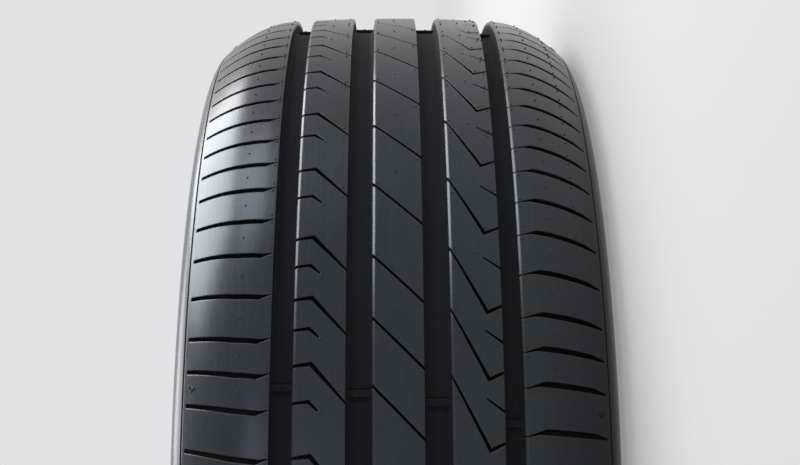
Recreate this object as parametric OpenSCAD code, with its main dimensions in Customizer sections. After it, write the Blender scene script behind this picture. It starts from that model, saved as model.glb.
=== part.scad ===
// Car tyre, one moulded piece lying on its lower sidewall, axis along +Z.
// Units are mm. Heights in the section are counted from the tyre's mid-plane, and
// "up" is the upper sidewall. Angles grow anticlockwise, seen from above.

/* [Overall size] */
// Outer diameter at the middle of the tread
outer_d = 634; // [600:1:680]
// Width over the two rim protectors
section_w = 225; // [220:1:240]
// Diameter of the bead seats
seat_d = 435.6; // [400:0.2:450]
// Distance between the outer faces of the beads
bead_gap = 190.5; // [184:0.5:200]

/* [Tread surface] */
// Width between the two shoulder lines
tread_w = 207.6; // [204:0.1:212]
// Radius of the flat arch across the tread
crown_r = 984; // [700:1:1500]
// Distance from the mid-plane where a shoulder begins to round off
shoulder_start = 63.4; // [62.8:0.1:68]
// Radius of the shoulders
shoulder_r = 50.7; // [46:0.1:60]

/* [Main grooves] */
// Depth of the four main grooves
groove_depth = 8; // [6:0.1:9]
// Slope of the groove walls in degrees
groove_slope = 6; // [2:0.5:9]
// Width of the bevel at the foot of each groove wall
groove_foot = 1.5; // [0.5:0.1:2]
// Width of the bevel along the lower lip of each groove
lip_w = 1.2; // [0.4:0.1:1.6]
// Depth of that bevel
lip_depth = 0.9; // [0.3:0.1:1.4]
// Height of the middle of the upper outer groove
upper_outer_pos = 54.5; // [53.5:0.05:55.5]
// Width of the upper outer groove
upper_outer_w = 12.1; // [10.5:0.1:13]
// Height of the middle of the upper inner groove
upper_inner_pos = 17.4; // [16.5:0.05:18.5]
// Width of the upper inner groove
upper_inner_w = 14; // [12:0.1:15.5]
// Depth below the mid-plane of the middle of the lower inner groove
lower_inner_pos = 20.45; // [19.5:0.05:21.5]
// Width of the lower inner groove
lower_inner_w = 14.2; // [12:0.1:15.5]
// Depth below the mid-plane of the middle of the lower outer groove
lower_outer_pos = 56.7; // [56:0.05:57]
// Width of the lower outer groove
lower_outer_w = 10.6; // [9.5:0.1:11]

/* [Wear bars] */
// Number of wear bars around each main groove
bar_count = 6; // [4:1:10]
// Height of the wear bars above the groove floor
bar_h = 1.6; // [1:0.1:2.4]
// Length of a wear bar around the tyre
bar_len = 6; // [4:0.1:12]

/* [Pitches] */
// Times that the run of pitches repeats around the tyre
runs = 5; // [4:1:6]
// Length of a medium pitch against a short one
medium_ratio = 1.15; // [1.05:0.01:1.2]
// Length of a long pitch against a short one
long_ratio = 1.3; // [1.2:0.01:1.4]
// Angle at which the shoulder run starts
shoulder_phase = -71.8; // [-75:0.1:-68]
// Angle at which the run of the three middle ribs starts
middle_phase = -69.2; // [-72:0.1:-66]
// Angle from an upper shoulder slot to its partner on the lower shoulder
lower_lag = 1.8; // [1:0.1:2.6]

/* [Shoulder slots] */
// Depth of the shoulder slots
slot_depth = 6.3; // [4:0.1:7]
// Depth of a shoulder slot at its outer end
slot_end_depth = 2.5; // [1:0.1:4]
// Distance from the mid-plane to the outer ends of the slots
slot_end = 102.2; // [96:0.1:102.6]
// Width of the upper shoulder's slots around the tyre
upper_slot_w = 2.8; // [2.2:0.1:3.8]
// Sweep of the upper shoulder's slots around the tyre
upper_slot_sweep = 6.2; // [0:0.1:8]
// Width of the lower shoulder's slots around the tyre
lower_slot_w = 3.4; // [2.2:0.1:4.5]
// Width of the slit that joins a slot to its groove
tip_w = 0.5; // [0.4:0.1:1]

/* [Sipes] */
// Depth of the narrow cuts in the three middle ribs
sipe_depth = 6; // [3:0.1:7]
// Width of the cuts where they meet a groove
sipe_w = 1.3; // [0.8:0.1:1.8]
// Width of the cuts at their bends
sipe_bend_w = 2.3; // [1.4:0.1:3]
// Width of the thin ends of the cuts
sipe_thin_w = 0.8; // [0.6:0.1:1.2]

/* [Sidewalls and beads] */
// Thickness of rubber and belts below the middle of the tread surface
crown_t = 13.5; // [12:0.1:16]
// Thickness of the sidewalls at their widest place
wall_t = 8; // [6:0.1:11]
// Share of the section height at which the sidewalls are widest
bulge_share = 0.463; // [0.4:0.001:0.52]
// How far the sidewalls lie behind the rim protectors' flat face
protector_proud = 0.6; // [0.6:0.1:2]
// Width of the flat face on each rim protector
protector_w = 5; // [3:0.1:7]
// Share of the section height at the middle of the rim protectors
protector_share = 0.25; // [0.24:0.001:0.28]
// Width of the cylindrical bead seats
seat_w = 9; // [6:0.1:11]
// Radius of the heel at the outer edge of each bead seat
heel_r = 6; // [4:0.1:7]
// Width of the toe inside each bead seat
toe_w = 5; // [3:0.1:7]
// Angle in degrees at which the toe draws back from the rim
toe_slope = 10; // [5:0.5:15]
// Height of the fine ring around the widest place of each sidewall
ring_h = 0.4; // [0.2:0.05:0.5]
// Width of that ring
ring_w = 1.6; // [1:0.1:2.2]
// Width of the fine line moulded just outside the shoulder slots
line_w = 1; // [0.6:0.1:1.4]
// Depth of that line
line_depth = 0.5; // [0.2:0.1:0.8]

/* [Hidden] */

rubber = [0.09, 0.1, 0.12];
shoulder_run = "LLSSLLMMSSSSSSSSSMLL";
middle_run = "LSSLLLMSSL";

crown_rad = outer_d / 2;
seat_rad = seat_d / 2;
half_w = section_w / 2;
height = crown_rad - seat_rad;

// Radius of the tread surface at a height from the mid-plane
function tread_r(y) = crown_rad - y * y / (2 * crown_r)
    - pow(max(abs(y) - shoulder_start, 0), 2) / (2 * shoulder_r);

// Steepness of the tread surface at a height above its shoulder start
function tread_fall(y) = y / crown_r + max(y - shoulder_start, 0) / shoulder_r;

// Heights of the tread's surface points from one height to another
function steps(a, b, n) = [for (i = [0 : n]) a + (b - a) * i / n];

// A smooth bend between two points, led by two guide points
function bend(a, b, c, d, n) = [for (i = [0 : n]) let (s = i / n, q = 1 - s)
    q * q * q * a + 3 * q * q * s * b + 3 * q * s * s * c + s * s * s * d];

// Section points of one main groove, from its upper lip to its lower lip
function groove_points(pos, w) = let (
    top = pos + w / 2,
    low = pos - w / 2,
    floor_r = tread_r(pos) - groove_depth,
    lean = tan(groove_slope))
    [
        [tread_r(top), top],
        [floor_r + groove_foot, top - lean * (groove_depth - groove_foot)],
        [floor_r, top - lean * groove_depth - groove_foot],
        [floor_r, low + lip_w + lean * groove_depth + groove_foot],
        [floor_r + groove_foot, low + lip_w + lean * (groove_depth - groove_foot)],
        [tread_r(low) - lip_depth, low + lip_w],
        [tread_r(low), low]
    ];

function flip(points) = [for (i = [len(points) - 1 : -1 : 0]) [points[i][0], -points[i][1]]];

// The widest place of the sidewall, and the edges of the rim protector
wall_y = half_w - protector_proud;
bulge_r = seat_rad + bulge_share * height;
guard_r = seat_rad + protector_share * height;
line_y = tread_w / 2;
line_r = tread_r(line_y);
line_fall = tread_fall(line_y);
line_along = [-line_fall, 1] / norm([line_fall, 1]);
line_inward = [-1, -line_fall] / norm([line_fall, 1]);
line_point = [line_r, line_y];
line_outer = line_point + line_w * line_along;
bead_y = bead_gap / 2;
seat_in_y = bead_y - heel_r - seat_w;
toe_y = seat_in_y - toe_w;
toe_r = seat_rad + toe_w * tan(toe_slope);
crown_in_r = crown_rad - crown_t;
wall_in_y = wall_y - wall_t;

// Rises from the rim protector to the widest place and on to the shoulder line, and
// from the toe to the widest place: the bends between them take shares of these
guard_rise = bulge_r - guard_r;
wall_rise = line_r - bulge_r;
toe_rise = bulge_r - toe_r;

// Upper half of the outside, from the inner edge of the bead to the shoulder line
outer_upper = concat(
    [[toe_r, toe_y], [seat_rad, seat_in_y], [seat_rad, bead_y - heel_r]],
    bend([seat_rad, bead_y - heel_r], [seat_rad, bead_y - heel_r * 0.45],
        [seat_rad + heel_r * 0.45, bead_y], [seat_rad + heel_r, bead_y], 5),
    bend([seat_rad + 0.11 * height, bead_y], [seat_rad + 0.16 * height, bead_y],
        [seat_rad + 0.17 * height, bead_y + 0.35 * (half_w - bead_y)],
        [guard_r - protector_w / 2 - 2, half_w - 2.5], 6),
    [[guard_r - protector_w / 2, half_w], [guard_r + protector_w / 2, half_w]],
    bend([guard_r + protector_w / 2 + 1, half_w - 1.6],
        [guard_r + protector_w / 2 + 1 + 0.19 * guard_rise, half_w - 1.6],
        [bulge_r - 0.43 * guard_rise, wall_y], [bulge_r - 3, wall_y], 7),
    [
        [bulge_r - ring_w / 2, wall_y],
        [bulge_r - ring_w / 4, wall_y + ring_h],
        [bulge_r + ring_w / 4, wall_y + ring_h],
        [bulge_r + ring_w / 2, wall_y]
    ],
    bend([bulge_r + 3, wall_y], [bulge_r + 0.44 * wall_rise, wall_y],
        line_outer + 0.25 * wall_rise * line_along, line_outer, 10),
    [line_point + line_w / 2 * line_along + line_depth * line_inward]
);

// Number of flat bands that make each rounded shoulder
shoulder_steps = 6;

// The tread's section, from the upper shoulder line to the lower one
tread_points = concat(
    [for (y = steps(line_y, shoulder_start, shoulder_steps)) [tread_r(y), y]],
    groove_points(upper_outer_pos, upper_outer_w),
    groove_points(upper_inner_pos, upper_inner_w),
    groove_points(-lower_inner_pos, lower_inner_w),
    groove_points(-lower_outer_pos, lower_outer_w),
    [for (y = steps(-shoulder_start, -line_y, shoulder_steps)) [tread_r(y), y]]
);

// Radius of the guide point that leads the inside around the shoulder
liner_corner_r = bulge_r + 1.5 * (crown_in_r - bulge_r) - crown_t - wall_t;

// Upper half of the inside, from the middle of the crown to the toe
liner_upper = concat(
    bend([crown_in_r, 0], [crown_in_r, 0.44 * half_w],
        [liner_corner_r, wall_in_y], [bulge_r, wall_in_y], 12),
    bend([bulge_r, wall_in_y], [bulge_r - 0.35 * toe_rise, wall_in_y],
        [toe_r + 0.35 * toe_rise, toe_y], [toe_r + 2, toe_y], 8)
);

module section() {
    polygon(concat(outer_upper, tread_points, flip(outer_upper), flip(liner_upper), liner_upper));
}

// Cutter frame: x runs around the tyre, y along its axis, and the cut goes inwards
module at_tread(angle, r) {
    rotate([0, 0, angle]) translate([r, 0, 0]) rotate([90, 0, 90]) children();
}

// Outline of a cut along a path of [around, axial, width] stations
function side_of(p, q) = let (d = [q[0] - p[0], q[1] - p[1]]) [-d[1], d[0]] / norm(d);
function corner_of(path, i) =
    i == 0 ? side_of(path[0], path[1])
    : i == len(path) - 1 ? side_of(path[i - 1], path[i])
    : let (s = side_of(path[i - 1], path[i]) + side_of(path[i], path[i + 1]))
        s * 2 / (s * s);
function ribbon(path) = concat(
    [for (i = [0 : len(path) - 1])
        [path[i][0], path[i][1]] + corner_of(path, i) * path[i][2] / 2],
    [for (i = [len(path) - 1 : -1 : 0])
        [path[i][0], path[i][1]] - corner_of(path, i) * path[i][2] / 2]
);

// One cut with a level floor, seen at the height of its middle
module sipe(angle, y, path) {
    at_tread(angle, tread_r(y) - sipe_depth)
        linear_extrude(height = sipe_depth + 4)
            polygon(ribbon(path));
}

// Section of a shoulder slot: its floor follows the tread and rises at the outer end
module slot_section(inner_y) {
    rotate([90, 0, 0])
        linear_extrude(height = 60, center = true)
            polygon(concat(
                [for (y = [inner_y, 76, slot_end - 8]) [tread_r(y) - slot_depth, y]],
                [[tread_r(slot_end) - slot_end_depth, slot_end + 0.6]],
                [[crown_rad + 4, slot_end + 0.6], [crown_rad + 4, inner_y]]));
}

module slot(angle, outline, inner_y) {
    rotate([0, 0, angle])
        intersection() {
            translate([crown_rad - 40, 0, 0])
                rotate([90, 0, 90])
                    linear_extrude(height = 50)
                        polygon(outline);
            slot_section(inner_y);
        }
}

// Angles at which the pitches of a run start
function unit(letter) = letter == "L" ? long_ratio : letter == "M" ? medium_ratio : 1;
function total(run, i) = i < 0 ? 0 : unit(run[i]) + total(run, i - 1);
function short_deg(run) = 360 / runs / total(run, len(run) - 1);

upper_tip_y = upper_outer_pos + upper_outer_w / 2;
lower_tip_y = lower_outer_pos + lower_outer_w / 2;

upper_slot_outline = [
    [0, upper_tip_y - 3],
    [-0.75, upper_tip_y + 4.6],
    [0.19 * upper_slot_sweep, 78.5],
    [upper_slot_sweep, slot_end],
    [upper_slot_sweep - 0.75 * upper_slot_w, slot_end],
    [0.19 * upper_slot_sweep - upper_slot_w, 78.5],
    [-0.4 - upper_slot_w, upper_tip_y + 6.5],
    [-0.2 - tip_w, upper_tip_y + 0.3],
    [-0.2 - tip_w, upper_tip_y - 3]
];

lower_slot_outline = [
    [0.1, lower_tip_y - 3],
    [0.1, lower_tip_y + 0.3],
    [lower_slot_w, lower_tip_y + 9.4],
    [0.8 * lower_slot_w, slot_end - 6],
    [0.33 * lower_slot_w, slot_end],
    [0, slot_end],
    [0.05, 86],
    [0.7, lower_tip_y + 5.5],
    [0.1 - tip_w, lower_tip_y + 0.3],
    [0.1 - tip_w, lower_tip_y - 3]
];

module shoulder_slots() {
    step = short_deg(shoulder_run);
    for (run = [0 : runs - 1]) {
        for (i = [0 : len(shoulder_run) - 1]) {
            angle = shoulder_phase + run * 360 / runs + step * total(shoulder_run, i - 1);
            slot(angle, upper_slot_outline, upper_tip_y - 3);
            mirror([0, 0, 1])
                slot(angle + lower_lag, lower_slot_outline, lower_tip_y - 3);
        }
    }
}

upper_rib_top = upper_outer_pos - upper_outer_w / 2;
upper_rib_low = upper_inner_pos + upper_inner_w / 2;
middle_rib_top = upper_inner_pos - upper_inner_w / 2;
middle_rib_low = -lower_inner_pos + lower_inner_w / 2;
lower_rib_top = -lower_inner_pos - lower_inner_w / 2;
lower_rib_low = -lower_outer_pos + lower_outer_w / 2;
reach = 2;

// Zigzag cuts of the upper rib: a long one right through it and a short one
module upper_rib_sipes(angle, pitch) {
    sipe(angle, 37, [
        [8.35, upper_rib_top + reach, sipe_w],
        [9.58, 41.05, sipe_bend_w],
        [-9.67 - 1.16 * reach, upper_rib_low - reach, sipe_thin_w]
    ]);
    sipe(angle + 0.78 * pitch, 44, [
        [-0.1, upper_rib_top + reach, sipe_w],
        [0.8, 42.05, 0.8 * sipe_bend_w],
        [-3.75, 37.3, sipe_thin_w]
    ]);
}

// Straight slanting cut of the middle rib
module middle_rib_sipe(angle) {
    sipe(angle - 2.35, 0, [
        [10.28 + 1.04 * reach, middle_rib_top + reach, sipe_w],
        [-14.38 - 1.04 * reach, middle_rib_low - reach, sipe_w]
    ]);
}

// Hooked cut of the lower rib, and the short cut beside it
module lower_rib_sipes(angle, pitch) {
    sipe(angle - 2.5, -38, [
        [14.7 + 2 * reach, lower_rib_top + reach, sipe_thin_w],
        [-18.65, -44.25, 0.78 * sipe_bend_w],
        [-15.2 + 0.48 * reach, lower_rib_low - reach, sipe_w]
    ]);
    sipe(angle - 5.72 + 0.545 * pitch, -47, [
        [-1.1 - 0.73 * reach, lower_rib_low - reach, sipe_w],
        [5.2, -43, sipe_thin_w]
    ]);
}

module middle_sipes() {
    step = short_deg(middle_run);
    for (run = [0 : runs - 1]) {
        for (i = [0 : len(middle_run) - 1]) {
            angle = middle_phase + run * 360 / runs + step * total(middle_run, i - 1);
            upper_rib_sipes(angle, step * unit(middle_run[i]));
            middle_rib_sipe(angle);
            lower_rib_sipes(angle, step * unit(middle_run[i]));
        }
    }
}

// Low bars across a groove that show when the tread is worn
module wear_bars(pos, w, phase) {
    floor_r = tread_r(pos) - groove_depth;
    span = bar_len / floor_r * 180 / PI;
    for (i = [0 : bar_count - 1]) {
        rotate([0, 0, phase + i * 360 / bar_count])
            rotate_extrude(angle = span, $fn = 96)
                polygon([
                    [floor_r - 1, pos - w / 2 + 0.4],
                    [floor_r + bar_h, pos - w / 2 + 0.4],
                    [floor_r + bar_h, pos + w / 2 - 0.2],
                    [floor_r - 1, pos + w / 2 - 0.2]
                ]);
    }
}

module tyre() {
    color(rubber)
        translate([0, 0, half_w]) {
            difference() {
                rotate_extrude($fn = 96) section();
                shoulder_slots();
                middle_sipes();
            }
            wear_bars(upper_outer_pos, upper_outer_w, -61.8);
            wear_bars(upper_inner_pos, upper_inner_w, -62.4);
            wear_bars(-lower_inner_pos, lower_inner_w, -63.2);
            wear_bars(-lower_outer_pos, lower_outer_w, -65.1);
        }
}

tyre();
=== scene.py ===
"""Car tyre: the moulded rubber body as Blender shows it, in the CAD's frame."""
import math

import bmesh
import bpy
from mathutils import Matrix, Vector
from mathutils.geometry import delaunay_2d_cdt


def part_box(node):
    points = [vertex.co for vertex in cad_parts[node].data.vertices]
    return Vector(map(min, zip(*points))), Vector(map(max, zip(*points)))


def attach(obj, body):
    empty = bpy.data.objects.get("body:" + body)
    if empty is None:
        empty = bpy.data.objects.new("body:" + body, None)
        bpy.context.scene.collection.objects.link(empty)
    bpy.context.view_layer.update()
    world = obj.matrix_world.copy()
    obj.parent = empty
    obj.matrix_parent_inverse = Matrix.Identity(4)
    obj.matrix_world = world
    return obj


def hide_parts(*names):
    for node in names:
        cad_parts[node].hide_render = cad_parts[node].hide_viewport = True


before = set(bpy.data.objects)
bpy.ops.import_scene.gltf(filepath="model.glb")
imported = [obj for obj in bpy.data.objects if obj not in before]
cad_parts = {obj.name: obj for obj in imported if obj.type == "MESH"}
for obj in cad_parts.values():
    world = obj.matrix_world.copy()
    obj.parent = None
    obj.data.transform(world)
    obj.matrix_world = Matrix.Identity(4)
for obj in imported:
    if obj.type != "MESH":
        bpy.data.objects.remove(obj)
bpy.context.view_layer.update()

# The tyre lies on its lower sidewall with its axis along +Z. Sizes are in
# millimetres until a mesh is made, and heights count from the mid-plane.
MM = 0.001
TINY = 1e-9
low_corner, high_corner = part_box("tyre")
CROWN_RAD = (high_corner[0] - low_corner[0]) / 2 / MM
HALF_W = high_corner[2] / 2 / MM
SEAT_RAD = 217.8
BEAD_Y = 95.25

# Tread surface: its arch and the rounding of the shoulders
CROWN_ARCH = 984.0
SHOULDER_START = 63.4
SHOULDER_ARCH = 50.7

# Fine groove along the shoulder line, as points of (run along the surface, depth)
LINE_Y = 103.8
LINE_W = 1.0
LINE_GROOVE = [(0.15, 0.35), (0.5, 0.5), (0.85, 0.35), (LINE_W, 0.0)]

# Main grooves: height of the middle and width at the surface
GROOVES = [(54.5, 12.1), (17.4, 14.0), (-20.45, 14.2), (-56.7, 10.6)]
GROOVE_DEPTH = 8.0
GROOVE_LEAN = math.tan(math.radians(6))
GROOVE_FOOT = 1.5
LIP_W = 1.2
LIP_DEPTH = 0.9

# Pitches around the tyre: one run of short, medium and long ones, repeated
RUNS = 5
RUN_DEG = 360 / RUNS
PITCH = {"S": 1.0, "M": 1.15, "L": 1.3}
SHOULDER_RUN = "LLSSLLMMSSSSSSSSSMLL"
MIDDLE_RUN = "LSSLLLMSSL"
SHOULDER_PHASE = -71.8
MIDDLE_PHASE = -69.2

# Where a cut lies in its pitch: degrees after the start, or a share of the pitch
LOWER_SLOT_LAG = 1.8
MIDDLE_SLANT_LAG = -2.35
LOWER_HOOK_LAG = -2.5
UPPER_SHORT_SHARE = 0.78
LOWER_SHORT_SHARE = 0.545
LOWER_SHORT_LAG = -5.72

# Shoulder slots
SLOT_DEPTH = 6.3
SLOT_END = 102.2
SLOT_END_DEPTH = 2.5
SLOT_RAMP = 8.0
UPPER_SLOT_W = 2.8
UPPER_SLOT_SWEEP = 6.2
UPPER_BEND_Y = 78.5
UPPER_BEND = 0.19 * UPPER_SLOT_SWEEP
LOWER_SLOT_W = 3.4
TIP_W = 0.5

# Sipes of the three middle ribs
SIPE_DEPTH = 6.0
SIPE_W = 1.3
SIPE_BEND_W = 2.3
SIPE_THIN_W = 0.8

# Sidewall and rim protector: where they lie between the bead seat and the crown
SECTION_H = CROWN_RAD - SEAT_RAD
WALL_Y = HALF_W - 0.6
BULGE_RAD = SEAT_RAD + 0.463 * SECTION_H
GUARD_RAD = SEAT_RAD + 0.25 * SECTION_H

# Ring at the widest place and rim protector, as offsets of (radius, height)
WALL_RING = [(0.8, 0.0), (0.4, 0.4), (-0.4, 0.4), (-0.8, 0.0)]
RING_CLEAR = 3.0
RIM_GUARD = [(2.7, -0.2), (2.3, 0.0), (-2.3, 0.0), (-2.7, -0.2)]
GUARD_TOP = (3.5, -1.6)
GUARD_FOOT = (-4.5, -2.5)

# Bead: its rounded heel, its seat and the toe that draws back outward
HEEL = 6.0
SEAT_W = 9.0
TOE_W = 5.0
TOE_Y = BEAD_Y - HEEL - SEAT_W - TOE_W
TOE_RAD = SEAT_RAD + TOE_W * math.tan(math.radians(10))
TOE_EDGE = 2.0

# Thickness of the rubber under the crown and behind the sidewall
CROWN_WALL = 13.5
SIDE_WALL = 8.0

# Guide points of the profile's bends: shares of what a bend spans, and one step back in mm
LINE_GUIDE = 0.25
ABOVE_BULGE_GUIDE = 0.44
BELOW_BULGE_GUIDE = 0.43
GUARD_GUIDE = 0.19
NECK_GUIDE = 0.17
NECK_GUIDE_OUT = 0.35
NECK_TURN = 0.16
NECK_END = 0.11
HEEL_GUIDE = 0.45
LINER_GUIDE = 0.35
ROOF_GUIDE = 1.5
ROOF_GUIDE_BACK = 21.5
ROOF_GUIDE_W = 0.44

# Spacing of the mesh: degrees around, and millimetres along a cut and between rows
GRID_DEG = 1.0
CUT_STEP = 4.0
SHOULDER_ROWS = 4.2
RIB_ROWS = 6.5

# How far the points of long lines and of rows keep from a cut
LINE_MARGIN = 0.7
ROW_MARGIN = 0.9

# Flat points closer than this, in millimetres, are one
SAME = 1e-3

# Vertices of the mesh closer than this, in metres, are merged
SEAM = 2e-6

# Faces that meet at a larger angle than this keep a sharp edge
CREASE_DEG = 28

# Axes of a flat outline on the tread
AROUND, HEIGHT = 0, 1


def tread_r(y):
    """Radius of the tread surface at a height from the mid-plane."""
    rounding = max(abs(y) - SHOULDER_START, 0.0)
    return CROWN_RAD - y * y / (2 * CROWN_ARCH) - rounding ** 2 / (2 * SHOULDER_ARCH)


def skin_r(y):
    """Radius of the tread surface with the bevel along each groove's lower lip."""
    for middle, width in GROOVES:
        low = middle - width / 2
        if low < y < low + LIP_W + SAME:
            return tread_r(low) - LIP_DEPTH * (y - low) / LIP_W
    return tread_r(y)


def pitch_starts(run, phase):
    """Start angle and length, in degrees, of each pitch in one run."""
    unit = RUN_DEG / sum(PITCH[letter] for letter in run)
    angle = phase
    out = []
    for letter in run:
        out.append((angle, unit * PITCH[letter]))
        angle += unit * PITCH[letter]
    return out


def ribbon(path):
    """Outline of a cut along stations of (around, height, width)."""
    points = [Vector(station[:2]) for station in path]
    sides = []
    for a, b in zip(points, points[1:]):
        along = (b - a).normalized()
        sides.append(Vector((-along.y, along.x)))
    corners = [sides[0]]
    for a, b in zip(sides, sides[1:]):
        corners.append((a + b) * 2 / (a + b).length_squared)
    corners.append(sides[-1])
    half = [corner * station[2] / 2 for corner, station in zip(corners, path)]
    left = [p + h for p, h in zip(points, half)]
    right = [p - h for p, h in zip(points, half)]
    return left + right[::-1]


def clip(outline, axis, limit, above):
    """The part of an outline on one side of a straight line."""
    out = []
    sign = 1 if above else -1
    for a, b in zip(outline, outline[1:] + outline[:1]):
        da, db = sign * (a[axis] - limit), sign * (b[axis] - limit)
        if da >= 0:
            out.append(a.copy())
        if da * db < 0:
            cross = a.lerp(b, da / (da - db))
            cross[axis] = limit
            out.append(cross)
    return out


def divided(outline):
    """An outline whose edges are no longer than the step along a cut."""
    out = []
    for a, b in zip(outline, outline[1:] + outline[:1]):
        count = max(1, math.ceil((b - a).length / CUT_STEP))
        out += [a.lerp(b, i / count) for i in range(count)]
    return out


def around(outline, angle, flip=1):
    """A flat outline laid on the tread, anticlockwise: its first axis becomes arc length."""
    out = []
    for point in outline:
        turn = math.radians(angle) + point.x / tread_r(point.y)
        out.append(Vector((turn * CROWN_RAD, flip * point.y)))
    area = sum(a.x * b.y - b.x * a.y for a, b in zip(out, out[1:] + out[:1]))
    return out if area > 0 else out[::-1]


# Heights of the ribs' edges
UPPER_TIP = GROOVES[0][0] + GROOVES[0][1] / 2
LOWER_TIP = -(GROOVES[3][0] - GROOVES[3][1] / 2)
RIB_EDGES = [
    (above - above_w / 2, below + below_w / 2)
    for (above, above_w), (below, below_w) in zip(GROOVES, GROOVES[1:])
]
(RIB2_TOP, RIB2_LOW), (RIB3_TOP, RIB3_LOW), (RIB4_TOP, RIB4_LOW) = RIB_EDGES

# How far the outlines below run past the edge of their rib, where they are cut off
SLOT_REACH = 3.0
SIPE_REACH = 2.0

# Outlines of the shoulder slots, as points of (around, height)
UPPER_SLOT = [
    (0.0, UPPER_TIP - SLOT_REACH),
    (-0.75, UPPER_TIP + 4.6),
    (UPPER_BEND, UPPER_BEND_Y),
    (UPPER_SLOT_SWEEP, SLOT_END),
    (UPPER_SLOT_SWEEP - 0.75 * UPPER_SLOT_W, SLOT_END),
    (UPPER_BEND - UPPER_SLOT_W, UPPER_BEND_Y),
    (-0.4 - UPPER_SLOT_W, UPPER_TIP + 6.5),
    (-0.2 - TIP_W, UPPER_TIP + 0.3),
    (-0.2 - TIP_W, UPPER_TIP - SLOT_REACH),
]
LOWER_SLOT = [
    (0.1, LOWER_TIP - SLOT_REACH),
    (0.1, LOWER_TIP + 0.3),
    (LOWER_SLOT_W, LOWER_TIP + 9.4),
    (0.8 * LOWER_SLOT_W, SLOT_END - 6),
    (0.33 * LOWER_SLOT_W, SLOT_END),
    (0.0, SLOT_END),
    (0.05, 86),
    (0.7, LOWER_TIP + 5.5),
    (0.1 - TIP_W, LOWER_TIP + 0.3),
    (0.1 - TIP_W, LOWER_TIP - SLOT_REACH),
]

# Paths of the sipes, as stations of (around, height, width)
UPPER_LONG = [
    (8.35, RIB2_TOP + SIPE_REACH, SIPE_W),
    (9.58, 41.05, SIPE_BEND_W),
    (-9.67 - 1.16 * SIPE_REACH, RIB2_LOW - SIPE_REACH, SIPE_THIN_W),
]
UPPER_SHORT = [
    (-0.1, RIB2_TOP + SIPE_REACH, SIPE_W),
    (0.8, 42.05, 0.8 * SIPE_BEND_W),
    (-3.75, 37.3, SIPE_THIN_W),
]
MIDDLE_SLANT = [
    (10.28 + 1.04 * SIPE_REACH, RIB3_TOP + SIPE_REACH, SIPE_W),
    (-14.38 - 1.04 * SIPE_REACH, RIB3_LOW - SIPE_REACH, SIPE_W),
]
LOWER_HOOK = [
    (14.7 + 2 * SIPE_REACH, RIB4_TOP + SIPE_REACH, SIPE_THIN_W),
    (-18.65, -44.25, 0.78 * SIPE_BEND_W),
    (-15.2 + 0.48 * SIPE_REACH, RIB4_LOW - SIPE_REACH, SIPE_W),
]
LOWER_SHORT = [
    (-1.1 - 0.73 * SIPE_REACH, RIB4_LOW - SIPE_REACH, SIPE_W),
    (5.2, -43.0, SIPE_THIN_W),
]

# Sipes of a pitch of the middle ribs: path, and heights of the rib's edges
SIPES = {
    "upper_long": (UPPER_LONG, RIB_EDGES[0]),
    "upper_short": (UPPER_SHORT, RIB_EDGES[0]),
    "middle_slant": (MIDDLE_SLANT, RIB_EDGES[1]),
    "lower_hook": (LOWER_HOOK, RIB_EDGES[2]),
    "lower_short": (LOWER_SHORT, RIB_EDGES[2]),
}


def sipe_turns(length):
    """Degrees from the start of a pitch to each of its sipes."""
    return {
        "upper_long": 0.0,
        "upper_short": UPPER_SHORT_SHARE * length,
        "middle_slant": MIDDLE_SLANT_LAG,
        "lower_hook": LOWER_HOOK_LAG,
        "lower_short": LOWER_SHORT_SHARE * length + LOWER_SHORT_LAG,
    }


def slot_outline(points, limit):
    """Outline of a shoulder slot, cut off at a height."""
    return clip(divided([Vector(point) for point in points]), HEIGHT, limit, True)


def slot_floor(y):
    """Radius of a shoulder slot's floor, which rises at its outer end."""
    ramp_start = SLOT_END - SLOT_RAMP
    if abs(y) <= ramp_start:
        return tread_r(y) - SLOT_DEPTH
    share = (abs(y) - ramp_start) / (SLOT_END - ramp_start)
    first = tread_r(ramp_start) - SLOT_DEPTH
    return first + share * (tread_r(SLOT_END) - SLOT_END_DEPTH - first)


def sipe_floor(middle):
    """Floor of a narrow cut: level, at the depth that it has in its middle."""
    level = tread_r(middle) - SIPE_DEPTH
    return lambda y: level


def run_of_cuts():
    """Outline on the tread and floor of each cut of one run."""
    cuts = []
    for angle, _ in pitch_starts(SHOULDER_RUN, SHOULDER_PHASE):
        upper = slot_outline(UPPER_SLOT, UPPER_TIP)
        cuts.append((around(upper, angle), slot_floor))
        lower = slot_outline(LOWER_SLOT, LOWER_TIP - LIP_W)
        cuts.append((around(lower, angle + LOWER_SLOT_LAG, -1), slot_floor))
    for angle, length in pitch_starts(MIDDLE_RUN, MIDDLE_PHASE):
        turns = sipe_turns(length)
        for name, (path, (top, low)) in SIPES.items():
            outline = clip(divided(ribbon(path)), HEIGHT, top + LIP_W, False)
            outline = clip(outline, HEIGHT, low, True)
            cuts.append((around(outline, angle + turns[name]), sipe_floor((top + low) / 2)))
    return cuts


def near(point, outline, margin):
    """Whether a point lies in an outline or within a margin of its edges."""
    inside = False
    for a, b in zip(outline, outline[1:] + outline[:1]):
        along = b - a
        share = max(0.0, min(1.0, (point - a).dot(along) / max(along.length_squared, TINY)))
        if (a + along * share - point).length < margin:
            return True
        if (a.y > point.y) != (b.y > point.y):
            if point.x < a.x + (point.y - a.y) * along.x / along.y:
                inside = not inside
    return inside


# A run of the mesh starts where no shoulder slot is crossed
CLEAR_OF_SLOTS = 1.1
SECTOR_START = math.radians(SHOULDER_PHASE - CLEAR_OF_SLOTS) * CROWN_RAD
SECTOR_LEN = math.radians(RUN_DEG) * CROWN_RAD
GRID_COUNT = round(RUN_DEG / GRID_DEG)
GRID_X = [SECTOR_START + SECTOR_LEN * i / GRID_COUNT for i in range(GRID_COUNT + 1)]


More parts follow.
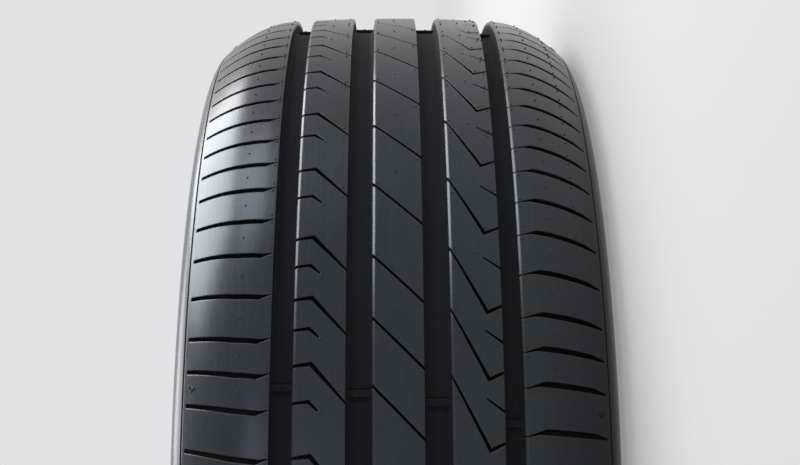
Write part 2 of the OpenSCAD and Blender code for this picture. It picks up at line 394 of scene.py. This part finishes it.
def sector_cuts():
    """Cuts of one sector, with those that cross its ends cut off there."""
    out = []
    for outline, floor in run_of_cuts():
        for shift in (-SECTOR_LEN, 0.0, SECTOR_LEN):
            moved = [p + Vector((shift, 0)) for p in outline]
            moved = clip(moved, AROUND, SECTOR_START, True)
            moved = clip(moved, AROUND, SECTOR_START + SECTOR_LEN, False)
            if len(moved) > 2:
                out.append((moved, floor))
    return out


def groove_walls():
    """Edge height of each groove wall, with the wall's levels (name, radius, height)."""
    walls = {}
    for middle, width in GROOVES:
        floor_r = tread_r(middle) - GROOVE_DEPTH
        for edge, side in ((middle + width / 2, 1), (middle - width / 2 + LIP_W, -1)):
            lean = side * GROOVE_LEAN
            walls[edge] = [
                ("foot", floor_r + GROOVE_FOOT, edge - lean * (GROOVE_DEPTH - GROOVE_FOOT)),
                ("floor", floor_r, edge - lean * GROOVE_DEPTH - side * GROOVE_FOOT),
            ]
    return walls


def flat_tread(cuts, walls):
    """Points and triangles of the tread laid flat, and the cuts each triangle lies in."""
    coords, edges = [], []

    def add(point):
        coords.append(point)
        return len(coords) - 1

    def clear(point, margin):
        return not any(near(point, outline, margin) for outline, _ in cuts)

    # Long lines: the shoulder lines, the edges of the grooves and where their lips start
    lip_starts = [middle - width / 2 for middle, width in GROOVES]
    for y in [LINE_Y] + sorted(walls, reverse=True) + lip_starts + [-LINE_Y]:
        line = []
        for i, x in enumerate(GRID_X):
            point = Vector((x, y))
            if i in (0, GRID_COUNT) or clear(point, LINE_MARGIN):
                line.append(add(point))
        edges += list(zip(line, line[1:]))

    # Rows of points on the shoulders and ribs
    bands = [(LINE_Y, UPPER_TIP, SHOULDER_ROWS)]
    bands += [(top, low, RIB_ROWS) for top, low in RIB_EDGES]
    bands += [(-LOWER_TIP, -LINE_Y, SHOULDER_ROWS)]
    for top, low, spacing in bands:
        count = max(2, round((top - low) / spacing))
        for j in range(1, count):
            for x in GRID_X:
                point = Vector((x, top + (low - top) * j / count))
                if clear(point, ROW_MARGIN):
                    add(point)

    faces = [[add(point) for point in outline] for outline, _ in cuts]
    flat, _, tris, _, _, inputs = delaunay_2d_cdt(coords, edges, faces, 0, SAME, True)
    return flat, tris, inputs


def surface_at(y, sources, cuts):
    """Level that a flat triangle lies on and the floor of its cut, or None past the tread."""
    if abs(y) > LINE_Y:
        return None
    if any(c - w / 2 + LIP_W < y < c + w / 2 for c, w in GROOVES):
        return "floor", None
    if sources:
        return "cut%d" % sources[0], cuts[sources[0]][1]
    return "top", None


def height_at(column, radius):
    """Height at which a column of levels passes a radius."""
    levels = sorted(column.values(), reverse=True)
    for (r0, y0), (r1, y1) in zip(levels, levels[1:]):
        if r1 <= radius <= r0:
            return y0 + (y1 - y0) * (r0 - radius) / max(r0 - r1, TINY)
    return levels[0][1]


def tread_columns(flat, tris, surfaces, walls):
    """Levels of each flat point, from the surface down: name to (radius, height)."""
    columns = []
    for point in flat:
        column = {"top": (skin_r(point.y), point.y)}
        for edge, levels in walls.items():
            if abs(edge - point.y) < SAME:
                column.update({name: (radius, y) for name, radius, y in levels})
        columns.append(column)
    for tri, surface in zip(tris, surfaces):
        name, floor = surface or (None, None)
        if floor is None:
            continue
        for i in tri:
            if name not in columns[i]:
                radius = floor(flat[i].y)
                columns[i][name] = (radius, height_at(columns[i], radius))
    return columns


def wall_parts(column_a, column_b, names):
    """Parts of the wall between two columns, as the names of levels down each of them."""
    first, last = sorted(names, key=lambda name: -column_a[name][0])

    def chain(column):
        high, low = column[first][0], column[last][0]
        ordered = sorted(column, key=lambda name: -column[name][0])
        return [name for name in ordered if low - TINY <= column[name][0] <= high + TINY]

    chain_a, chain_b = chain(column_a), chain(column_b)
    shared = [name for name in chain_a if name in chain_b]
    for high, low in zip(shared, shared[1:]):
        yield (chain_a[chain_a.index(high):chain_a.index(low) + 1],
               chain_b[chain_b.index(high):chain_b.index(low) + 1])


def tread_sector():
    """Points (arc, radius, height) and faces of the tread over one run."""
    cuts = sector_cuts()
    walls = groove_walls()
    flat, tris, inputs = flat_tread(cuts, walls)
    surfaces = []
    for tri, sources in zip(tris, inputs):
        surfaces.append(surface_at(sum(flat[i].y for i in tri) / 3, sources, cuts))
    columns = tread_columns(flat, tris, surfaces, walls)
    points, index, faces = [], {}, []

    def vertex(i, name):
        if (i, name) not in index:
            radius, y = columns[i][name]
            index[i, name] = len(points)
            points.append((flat[i].x, radius, y))
        return index[i, name]

    sides = {}
    for tri, surface in zip(tris, surfaces):
        if surface is None:
            continue
        faces.append([vertex(i, surface[0]) for i in tri])
        for a, b in zip(tri, tri[1:] + tri[:1]):
            sides.setdefault((min(a, b), max(a, b)), []).append(surface[0])

    # Walls stand where two triangles that meet lie on different levels
    for (a, b), names in sides.items():
        if len(names) < 2 or names[0] == names[1]:
            continue
        for down_a, down_b in wall_parts(columns[a], columns[b], names):
            face = [vertex(a, name) for name in down_a]
            face += [vertex(b, name) for name in reversed(down_b)]
            faces.append(face)
    return points, faces


def bend(a, b, c, d, count):
    """Points of a smooth bend between two points, led by two guide points."""
    out = []
    for i in range(count + 1):
        s = i / count
        q = 1 - s
        weights = (q ** 3, 3 * q * q * s, 3 * q * s * s, s ** 3)
        guides = list(zip(weights, (a, b, c, d)))
        out.append(tuple(sum(w * p[k] for w, p in guides) for k in (0, 1)))
    return out


def off_line(run, sink):
    """A point off the shoulder line: a run along the surface and a depth below it."""
    fall = LINE_Y / CROWN_ARCH + (LINE_Y - SHOULDER_START) / SHOULDER_ARCH
    size = math.hypot(fall, 1)
    along = (-fall / size, 1 / size)
    return (tread_r(LINE_Y) + run * along[0] - sink * along[1],
            LINE_Y + run * along[1] + sink * along[0])


def raised(offsets, radius, y):
    """Points of a raised ring, from their offsets to its place."""
    return [(radius + out, y + rise) for out, rise in offsets]


def wall_profile():
    """Radius and height from the shoulder line over the sidewall and bead to the toe."""
    wall_rise = tread_r(LINE_Y) - BULGE_RAD
    guard_rise = BULGE_RAD - GUARD_RAD
    guard_top, guard_foot = raised([GUARD_TOP, GUARD_FOOT], GUARD_RAD, HALF_W)
    points = [off_line(run, sink) for run, sink in LINE_GROOVE]
    points += bend(
        off_line(LINE_W, 0),
        off_line(LINE_W + LINE_GUIDE * wall_rise, 0),
        (BULGE_RAD + ABOVE_BULGE_GUIDE * wall_rise, WALL_Y),
        (BULGE_RAD + RING_CLEAR, WALL_Y),
        count=12)[1:]
    points += raised(WALL_RING, BULGE_RAD, WALL_Y)
    points += bend(
        (BULGE_RAD - RING_CLEAR, WALL_Y),
        (BULGE_RAD - BELOW_BULGE_GUIDE * guard_rise, WALL_Y),
        (guard_top[0] + GUARD_GUIDE * guard_rise, guard_top[1]),
        guard_top,
        count=7)
    points += raised(RIM_GUARD, GUARD_RAD, HALF_W)
    points += bend(
        guard_foot,
        (SEAT_RAD + NECK_GUIDE * SECTION_H, BEAD_Y + NECK_GUIDE_OUT * (HALF_W - BEAD_Y)),
        (SEAT_RAD + NECK_TURN * SECTION_H, BEAD_Y),
        (SEAT_RAD + NECK_END * SECTION_H, BEAD_Y),
        count=9)
    points += bend(
        (SEAT_RAD + HEEL, BEAD_Y),
        (SEAT_RAD + HEEL_GUIDE * HEEL, BEAD_Y),
        (SEAT_RAD, BEAD_Y - HEEL_GUIDE * HEEL),
        (SEAT_RAD, BEAD_Y - HEEL),
        count=6)
    return points + [(SEAT_RAD, BEAD_Y - HEEL - SEAT_W), (TOE_RAD, TOE_Y)]


def liner_profile():
    """Radius and height from the toe over the inside of the tyre to its mid-plane."""
    rise = BULGE_RAD - TOE_RAD
    roof_r = CROWN_RAD - CROWN_WALL
    inner_y = WALL_Y - SIDE_WALL
    points = bend(
        (TOE_RAD + TOE_EDGE, TOE_Y),
        (TOE_RAD + LINER_GUIDE * rise, TOE_Y),
        (BULGE_RAD - LINER_GUIDE * rise, inner_y),
        (BULGE_RAD, inner_y),
        count=8)
    points += bend(
        (BULGE_RAD, inner_y),
        (BULGE_RAD + ROOF_GUIDE * (roof_r - BULGE_RAD) - ROOF_GUIDE_BACK, inner_y),
        (roof_r, ROOF_GUIDE_W * HALF_W),
        (roof_r, 0),
        count=12)[1:]
    return points


def on_tyre(radius, angle, y):
    """A point of the scene, in metres, from its place on the tyre."""
    return Vector((radius * math.cos(angle), radius * math.sin(angle), y + HALF_W)) * MM


def band_faces(first, rings, size):
    """Faces between closed rings of vertices that follow one another."""
    faces = []
    for j in range(rings - 1):
        a, b = first + j * size, first + (j + 1) * size
        for i in range(size):
            k = (i + 1) % size
            faces.append([a + i, a + k, b + k, b + i])
    return faces


def outward_mesh(name, verts, faces, seam=0.0):
    """A mesh with its faces turned outward and the vertices along a seam merged."""
    mesh = bpy.data.meshes.new(name)
    mesh.from_pydata(verts, [], faces)
    shape = bmesh.new()
    shape.from_mesh(mesh)
    if seam:
        bmesh.ops.remove_doubles(shape, verts=shape.verts, dist=seam)
    bmesh.ops.recalc_face_normals(shape, faces=shape.faces)
    shape.to_mesh(mesh)
    shape.free()
    return mesh


def tyre_mesh():
    """The whole body as one closed mesh."""
    verts, faces = [], []
    points, sector = tread_sector()
    for run in range(RUNS):
        first = len(verts)
        turn = math.radians(RUN_DEG) * run
        verts += [on_tyre(radius, x / CROWN_RAD + turn, y) for x, radius, y in points]
        faces += [[first + i for i in face] for face in sector]

    profile = [(tread_r(LINE_Y), LINE_Y)] + wall_profile() + liner_profile()
    profile += [(radius, -y) for radius, y in reversed(profile[:-1])]
    count = GRID_COUNT * RUNS
    arcs = [SECTOR_START + SECTOR_LEN * i / GRID_COUNT for i in range(count)]
    faces += band_faces(len(verts), len(profile), count)
    for radius, y in profile:
        verts += [on_tyre(radius, arc / CROWN_RAD, y) for arc in arcs]

    mesh = outward_mesh("tyre_body", verts, faces, SEAM)
    mesh.shade_smooth()
    mesh.set_sharp_from_angle(angle=math.radians(CREASE_DEG))
    return mesh


def lofted(name, solids):
    """A mesh of closed solids, each a list of rings of (radius, angle, height) points."""
    verts, faces = [], []
    for rings in solids:
        first = len(verts)
        size = len(rings[0])
        verts += [on_tyre(*point) for ring in rings for point in ring]
        faces += band_faces(first, len(rings), size)
        faces.append([first + i for i in reversed(range(size))])
        faces.append([first + (len(rings) - 1) * size + i for i in range(size)])
    return outward_mesh(name, verts, faces)


# Wear bars: one across each main groove, repeated around the tyre
BAR_PHASES = (-61.8, -62.4, -63.2, -65.1)
BAR_COUNT = 6
BAR_H = 1.6
BAR_LEN = 6.0
BAR_SINK = 1.0
BAR_EASE = 0.2
NOTCH = 0.9

# Outline of one half of a bar, as points of (run along the groove, height)
BAR_HALF = [
    (0.0, BAR_H - BAR_EASE),
    (BAR_EASE, BAR_H),
    (0.4, BAR_H),
    (0.45, BAR_H - NOTCH),
    (1.1, BAR_H - NOTCH),
    (1.15, BAR_H),
]

# How far inside the groove's edges a bar ends, hidden in the leaning walls
BAR_TOP_INSET = 0.2
BAR_LOW_INSET = 0.4


def bar_starts(phase):
    """Angles at which the wear bars of one groove start."""
    return [math.radians(phase + i * 360 / BAR_COUNT) for i in range(BAR_COUNT)]


def wear_bar_mesh():
    """Low bars across the groove floors, with a fine notch near both ends."""
    outline = BAR_HALF + [(BAR_LEN - run, rise) for run, rise in reversed(BAR_HALF)]
    solids = []
    for (middle, width), phase in zip(GROOVES, BAR_PHASES):
        floor_r = tread_r(middle) - GROOVE_DEPTH
        top = middle + width / 2 - BAR_TOP_INSET
        low = middle - width / 2 + BAR_LOW_INSET
        for start in bar_starts(phase):
            rings = []
            for run, rise in outline:
                angle = start + run / floor_r
                rings.append([
                    (floor_r - BAR_SINK, angle, low), (floor_r + rise, angle, low),
                    (floor_r + rise, angle, top), (floor_r - BAR_SINK, angle, top)])
            solids.append(rings)
    return lofted("wear_bars", solids)


# Vent nubs: height, radius, and rings of (share of the height, share of the radius)
NUB_H = 0.5
NUB_RAD = 0.6
BAR_NUB_RAD = 0.8
BAR_NUB_OFF = 0.5
NUB_SIDES = 6
NUB_SINK = 0.3
NUB_RINGS = [(0.3, 1.0), (0.8, 0.75), (1.0, 0.35)]

# Nubs of a pitch: height, share of the pitch and arc from its start
UPPER_NUBS = [(76.3, 0.49, 0.0), (62.3, 0.0, 1.9), (62.3, 0.0, -2.6)]
LOWER_NUBS = [
    (-77.0, 0.6, 0.0), (-91.5, 0.0, 5.4), (-91.5, 0.0, -1.8),
    (-63.2, 0.0, 2.2), (-63.2, 0.0, -2.3),
]

# Nubs of the middle ribs, counted from the start of a sipe
SIPE_NUBS = {
    "upper_long": [(27.0, 0.0, -3.6), (27.0, 0.0, -9.8)],
    "upper_short": [(36.5, 0.0, -4.9)],
    "middle_slant": [(9.2, 0.0, 12.6), (-11.3, 0.0, -15.8), (-0.3, 0.5, -1.5)],
    "lower_hook": [
        (-28.9, 0.0, 6.8), (-28.9, 0.0, 17.2), (-44.9, 0.0, -14.9),
        (-49.7, 0.0, -18.1), (-39.0, 0.5, -8.0),
    ],
    "lower_short": [(-49.5, 0.0, 2.8), (-48.7, 0.0, -2.5)],
}


def nub(angle, y, radius, nub_rad):
    """A round stub of rubber on a surface of a given radius."""
    levels = [(-NUB_SINK, nub_rad)]
    levels += [(high * NUB_H, size * nub_rad) for high, size in NUB_RINGS]
    rings = []
    for level, size in levels:
        ring = []
        for i in range(NUB_SIDES):
            turn = math.tau * i / NUB_SIDES
            ring.append((radius + level, angle + size * math.cos(turn) / radius,
                         y + size * math.sin(turn)))
        rings.append(ring)
    return rings


def nub_places():
    """Arc and height of the nubs of one run."""
    places = []

    def put(nubs, angle, length):
        arc = math.radians(length) * CROWN_RAD
        for y, share, run in nubs:
            places.append((math.radians(angle) * CROWN_RAD + (share * arc + run), y))

    for angle, length in pitch_starts(SHOULDER_RUN, SHOULDER_PHASE):
        put(UPPER_NUBS, angle, length)
        put(LOWER_NUBS, angle + LOWER_SLOT_LAG, length)
    for angle, length in pitch_starts(MIDDLE_RUN, MIDDLE_PHASE):
        turns = sipe_turns(length)
        for name, nubs in SIPE_NUBS.items():
            put(nubs, angle + turns[name], length)
    return places


def vent_nub_mesh():
    """Stubs that the vents of the mould leave on the ribs, shoulders and wear bars."""
    places = nub_places()
    solids = []
    for run in range(RUNS):
        for x, y in places:
            angle = x / CROWN_RAD + math.radians(RUN_DEG) * run
            # A nub that would reach past the box of the CAD is left out
            reach = (tread_r(y) + NUB_H) * max(abs(math.cos(angle)), abs(math.sin(angle)))
            if reach <= CROWN_RAD:
                solids.append(nub(angle, y, tread_r(y), NUB_RAD))
    for (middle, _), phase in zip(GROOVES, BAR_PHASES):
        bar_r = tread_r(middle) - GROOVE_DEPTH + BAR_H
        for start in bar_starts(phase):
            angle = start + BAR_LEN / 2 / bar_r
            solids.append(nub(angle, middle + BAR_NUB_OFF, bar_r, BAR_NUB_RAD))
    return lofted("vent_nubs", solids)


# Marks for the wear bars: side and start angle of each row, and corners of (height, arc)
MARK_ROWS = ((1, -60.45), (-1, -63.05))
MARK_CORNERS = ((101.7, 0.0), (98.2, -1.8), (100.1, -4.0))

# Section of a mark's raised rim, as (share of the way from its middle, level)
MARK_RIM = ((1.0, -0.3), (1.0, 0.45), (0.72, 0.45), (0.72, -0.3))


def wear_mark_mesh():
    """Small raised triangles on the shoulders in line with the wear bars."""
    middle_y, middle_x = (sum(corner[k] for corner in MARK_CORNERS) / 3 for k in (0, 1))

    def section(corner, start, side):
        ring = []
        for share, level in MARK_RIM:
            y = middle_y + (corner[0] - middle_y) * share
            x = middle_x + (corner[1] - middle_x) * share
            ring.append((tread_r(y) + level, start + x / tread_r(y), side * y))
        return ring

    solids = []
    for side, phase in MARK_ROWS:
        for start in bar_starts(phase):
            rings = [section(corner, start, side) for corner in MARK_CORNERS]
            solids += [[a, b] for a, b in zip(rings, rings[1:] + rings[:1])]
    return lofted("wear_marks", solids)


def add_piece(name, mesh, material):
    """A piece of the tyre that rides on the CAD body."""
    mesh.materials.append(material)
    piece = bpy.data.objects.new(name, mesh)
    bpy.context.scene.collection.objects.link(piece)
    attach(piece, "root")
    return piece


class Nodes:
    """Short calls that add nodes to one node tree and join them."""

    # Numbers of the sockets for colours in a Mix node
    MIX_FIRST, MIX_SECOND, MIX_RESULT = 6, 7, 2

    def __init__(self, tree):
        self.tree = tree

    def put(self, node, inputs):
        """Set or link inputs of a node, each by its name or number."""
        for key, value in inputs.items():
            if isinstance(value, bpy.types.NodeSocket):
                self.tree.links.new(value, node.inputs[key])
            else:
                node.inputs[key].default_value = value

    def add(self, kind, inputs=None, **settings):
        """A new node with some inputs and settings."""
        node = self.tree.nodes.new(kind)
        for key, value in settings.items():
            setattr(node, key, value)
        self.put(node, inputs or {})
        return node

    def maths(self, operation, *values):
        """Result of a sum, product or the like."""
        values = dict(enumerate(values))
        return self.add("ShaderNodeMath", values, operation=operation).outputs[0]

    def noise(self, vector, scale, detail):
        """Value of a noise texture."""
        inputs = {"Vector": vector, "Scale": scale, "Detail": detail}
        return self.add("ShaderNodeTexNoise", inputs).outputs["Fac"]

    def ramp(self, value, low, high, first, last):
        """A value carried over from one range to another."""
        inputs = {"Value": value, "From Min": low, "From Max": high,
                  "To Min": first, "To Max": last}
        return self.add("ShaderNodeMapRange", inputs).outputs["Result"]

    def blend(self, share, first, second):
        """A colour between two others."""
        inputs = {"Factor": share, self.MIX_FIRST: first, self.MIX_SECOND: second}
        node = self.add("ShaderNodeMix", inputs, data_type="RGBA")
        return node.outputs[self.MIX_RESULT]

    def bump(self, height, strength, distance, normal):
        """A normal that is bent by a height."""
        inputs = {"Height": height, "Strength": strength, "Distance": distance,
                  "Normal": normal}
        return self.add("ShaderNodeBump", inputs).outputs["Normal"]

    def seen_rays(self):
        """A socket that is 1 for camera, glossy and transmission rays."""
        path = self.add("ShaderNodeLightPath").outputs
        value = path["Is Camera Ray"]
        for name in ("Is Glossy Ray", "Is Transmission Ray"):
            value = self.maths("MAXIMUM", value, path[name])
        return value


# Rubber: colours, with a darker colour painted into the grooves as shade, and roughness of
# the ribs with what the grooves add to it
RIB_DARK = (0.0055, 0.0070, 0.0095, 1)
RIB_PALE = (0.0130, 0.0160, 0.0210, 1)
PAINTED_GROOVE_SHADE = (0.0030, 0.0038, 0.0046, 1)
SPECULAR_TINT = (0.74, 0.88, 1.0, 1)
RUBBER_IOR = 1.5
RIB_ROUGHNESS = (0.23, 0.30)
GROOVE_ROUGHER = 0.60

# Depths, in metres, between which the painted shade and the added roughness of a groove set
# in
GROOVE_SHADE = (0.0014, 0.004)

# Where shade is painted into the shoulder line and its roughness raised, in millimetres from
# its upper edge
LINE_SHADE = (0.05, 0.85)

# Noise of the rubber as (scale, detail), and how far its streaks run around the tyre
STREAKS = (900, 3)
PATCHES = (14, 4)
GRAIN = (1800, 2)
STREAK_SQUEEZE = (0.06, 1.0, 1.0)
ROLLED_RAD = 0.3
STREAK_SHARE = 0.55
TONE_RANGE = (0.3, 0.7)

# Bumps as (strength, distance in metres), and the rounding of edges in metres
STREAK_BUMP = (0.05, 0.0002)
PORE_BUMP = (0.03, 0.0001)
EDGE_ROUNDING = 0.0008
EDGE_SAMPLES = 4


def groove_shade_and_roughness_mask(nodes, radius, z):
    """A socket that is 0 on the ribs and 1 down in a groove or the shoulder line, where shade
    is painted into the colour and the rubber is made rougher.
    """
    height = nodes.maths("ABSOLUTE", nodes.maths("SUBTRACT", z, HALF_W * MM))
    arch = nodes.maths(
        "DIVIDE", nodes.maths("MULTIPLY", height, height), 2 * CROWN_ARCH * MM)
    beyond = nodes.maths(
        "MAXIMUM", nodes.maths("SUBTRACT", height, SHOULDER_START * MM), 0.0)
    rounding = nodes.maths(
        "DIVIDE", nodes.maths("MULTIPLY", beyond, beyond), 2 * SHOULDER_ARCH * MM)
    surface_r = nodes.maths(
        "SUBTRACT", CROWN_RAD * MM, nodes.maths("ADD", arch, rounding))
    depth = nodes.maths("SUBTRACT", surface_r, radius)
    deep = nodes.ramp(depth, *GROOVE_SHADE, 0.0, 1.0)
    on_tread = nodes.maths("LESS_THAN", height, LINE_Y * MM)
    # The shoulder line gets the same painted shade and added roughness as the grooves
    line_start, line_end = ((LINE_Y + run) * MM for run in LINE_SHADE)
    on_line = nodes.maths(
        "MULTIPLY", nodes.maths("GREATER_THAN", height, line_start),
        nodes.maths("LESS_THAN", height, line_end))
    return nodes.maths("MAXIMUM", nodes.maths("MULTIPLY", deep, on_tread), on_line)


def rubber_material():
    """Black cured rubber with fine marks that run around the tyre, and shade painted into its
    grooves.
    """
    material = bpy.data.materials.new("tyre_rubber")
    material.use_nodes = True
    material.node_tree.nodes.clear()
    nodes = Nodes(material.node_tree)
    where = nodes.add("ShaderNodeTexCoord").outputs["Object"]
    x, y, z = nodes.add("ShaderNodeSeparateXYZ", {0: where}).outputs
    turn = nodes.maths("ARCTAN2", y, x)
    squares = nodes.maths(
        "ADD", nodes.maths("MULTIPLY", x, x), nodes.maths("MULTIPLY", y, y))
    radius = nodes.maths("SQRT", squares)
    # Mask where shade is painted into the colour of the grooves and the shoulder line, which
    # also makes them rougher
    groove_shade_and_roughness = groove_shade_and_roughness_mask(nodes, radius, z)

    # Streaks follow the surface as if it was rolled out flat
    arc = nodes.maths("MULTIPLY", turn, ROLLED_RAD)
    rolled = nodes.add("ShaderNodeCombineXYZ", {0: arc, 1: radius, 2: z}).outputs[0]
    squeezed = nodes.add("ShaderNodeMapping", {"Vector": rolled, "Scale": STREAK_SQUEEZE})
    streaks = nodes.noise(squeezed.outputs["Vector"], *STREAKS)
    tone = nodes.maths(
        "ADD", nodes.maths("MULTIPLY", streaks, STREAK_SHARE),
        nodes.maths("MULTIPLY", nodes.noise(where, *PATCHES), 1 - STREAK_SHARE))
    rib_colour = nodes.blend(nodes.ramp(tone, *TONE_RANGE, 0.0, 1.0), RIB_DARK, RIB_PALE)
    gloss = nodes.ramp(tone, *TONE_RANGE, *RIB_ROUGHNESS)
    rougher = nodes.maths("MULTIPLY", groove_shade_and_roughness, GROOVE_ROUGHER)

    edge = nodes.add("ShaderNodeBevel", {"Radius": EDGE_ROUNDING}, samples=EDGE_SAMPLES)
    lines = nodes.bump(streaks, *STREAK_BUMP, edge.outputs["Normal"])
    pores = nodes.bump(nodes.noise(where, *GRAIN), *PORE_BUMP, lines)
    surface = nodes.add("ShaderNodeBsdfPrincipled", {
        # Shade painted into the grooves and the shoulder line: the base colour turns darker
        # there
        "Base Color": nodes.blend(groove_shade_and_roughness, rib_colour, PAINTED_GROOVE_SHADE),
        "Roughness": nodes.maths("ADD", gloss, rougher),
        "IOR": RUBBER_IOR,
        "Specular Tint": SPECULAR_TINT,
        "Normal": pores,
    })
    nodes.add("ShaderNodeOutputMaterial", {"Surface": surface.outputs[0]})
    return material


rubber = rubber_material()
body = add_piece("tyre_body", tyre_mesh(), rubber)
add_piece("wear_bars", wear_bar_mesh(), rubber)
nubs = add_piece("vent_nubs", vent_nub_mesh(), rubber)
nubs.data.shade_smooth()
add_piece("wear_marks", wear_mark_mesh(), rubber)
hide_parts("tyre")

# Camera of the photograph: fitted to the tread, with the picture's up along +X
FOCAL_PX = 1557.03
PICTURE_W = 800
SENSOR_W = 36
CAMERA_AT = Vector((343.3, -996.6, HALF_W + 5.6)) * MM
PITCH_DEG = -9.3295
YAW_DEG = -0.5767
ROLL_DEG = 0.0212

photo_turn = (Matrix.Rotation(math.radians(YAW_DEG), 3, "Z")
              @ Matrix.Rotation(math.radians(PITCH_DEG), 3, "X")
              @ Matrix.Rotation(math.radians(ROLL_DEG), 3, "Y"))
to_row = Matrix(((0, 0, 1), (0, 1, 0), (-1, 0, 0)))
right, forward, up = (to_row @ photo_turn.col[k] for k in range(3))
camera_turn = Matrix((right, up, -forward)).transposed().to_4x4()
camera_data = bpy.data.cameras.new("camera")
camera_data.sensor_width = SENSOR_W
camera_data.lens = FOCAL_PX / PICTURE_W * SENSOR_W
camera = bpy.data.objects.new("camera", camera_data)
camera.matrix_world = Matrix.Translation(CAMERA_AT) @ camera_turn
bpy.context.scene.collection.objects.link(camera)
bpy.context.scene.camera = camera

# Studio: colour and strength of the pale background, of the light around and of the floor
BACKGROUND = {"Color": (0.96, 0.98, 1.0, 1), "Strength": 0.78}
AMBIENT = {"Color": (0.94, 0.97, 1.0, 1), "Strength": 0.35}
FLOOR = {"Base Color": (0.55, 0.55, 0.55, 1), "Roughness": 0.8}
FLOOR_HALF = 6.0

# Distances from the tyre's axis between which the background takes over from the
# lit floor, and its share at both, in metres and shares of 1
FLOOR_FADE = (0.5, 3.0, 0.35, 1.0)


def floor_material():
    """Pale floor that passes into the background, which its shadows still darken."""
    material = bpy.data.materials.new("pale_floor")
    material.use_nodes = True
    nodes = Nodes(material.node_tree)
    lit = nodes.tree.nodes["Principled BSDF"]
    nodes.put(lit, FLOOR)
    glow = nodes.add("ShaderNodeEmission", BACKGROUND)
    where = nodes.add("ShaderNodeTexCoord").outputs["Object"]
    reach = nodes.add("ShaderNodeVectorMath", {0: where}, operation="LENGTH")
    fade = nodes.ramp(reach.outputs["Value"], *FLOOR_FADE)
    share = nodes.maths("MULTIPLY", nodes.seen_rays(), fade)
    both = nodes.add(
        "ShaderNodeMixShader", {0: share, 1: lit.outputs[0], 2: glow.outputs[0]})
    nodes.put(nodes.tree.nodes["Material Output"], {0: both.outputs[0]})
    return material


floor_mesh = bpy.data.meshes.new("floor")
corners = [(-1, -1), (1, -1), (1, 1), (-1, 1)]
floor_mesh.from_pydata(
    [(x * FLOOR_HALF, y * FLOOR_HALF, 0) for x, y in corners], [], [(0, 1, 2, 3)])
floor_mesh.materials.append(floor_material())
floor = bpy.data.objects.new("floor", floor_mesh)
bpy.context.scene.collection.objects.link(floor)

# Soft lamps: place and size in metres and power in watts. All face the tread's near edge.
NEAR_EDGE = Vector((0.22, -0.15, 0.19))
LAMPS = {
    "key": ((1.3, 0.84, 1.8), (1.16, 1.8), 54),
    "top": ((2.12, 0.02, 1.08), (0.9, 1.0), 12),
    "side": ((0.1, 0.6, 1.8), (0.8, 1.2), 15),
    "fill": ((0.7, -2.0, 1.1), (1.4, 0.8), 4),
}


def area_light(name, place, size, power):
    """A soft lamp that faces the near edge, with its second size along the Y axis."""
    data = bpy.data.lights.new(name, "AREA")
    data.shape = "RECTANGLE"
    data.size, data.size_y = size
    data.energy = power
    lamp = bpy.data.objects.new(name, data)
    back = (Vector(place) - NEAR_EDGE).normalized()
    across = Vector((0, 1, 0)).cross(back).normalized()
    turn = Matrix((across, back.cross(across), back)).transposed().to_4x4()
    lamp.matrix_world = Matrix.Translation(place) @ turn
    bpy.context.scene.collection.objects.link(lamp)


for lamp_name, (lamp_place, lamp_size, lamp_power) in LAMPS.items():
    area_light(lamp_name, lamp_place, lamp_size, lamp_power)

# World: the background where it is seen or mirrored, and plain light elsewhere
world = bpy.data.worlds.new("studio")
world.use_nodes = True
bpy.context.scene.world = world
sky = Nodes(world.node_tree)
backdrop = sky.tree.nodes["Background"]
sky.put(backdrop, BACKGROUND)
ambient = sky.add("ShaderNodeBackground", AMBIENT)
choice = sky.add(
    "ShaderNodeMixShader",
    {0: sky.seen_rays(), 1: ambient.outputs[0], 2: backdrop.outputs[0]})
sky.put(sky.tree.nodes["World Output"], {0: choice.outputs[0]})
bpy.context.scene.view_settings.view_transform = "Standard"
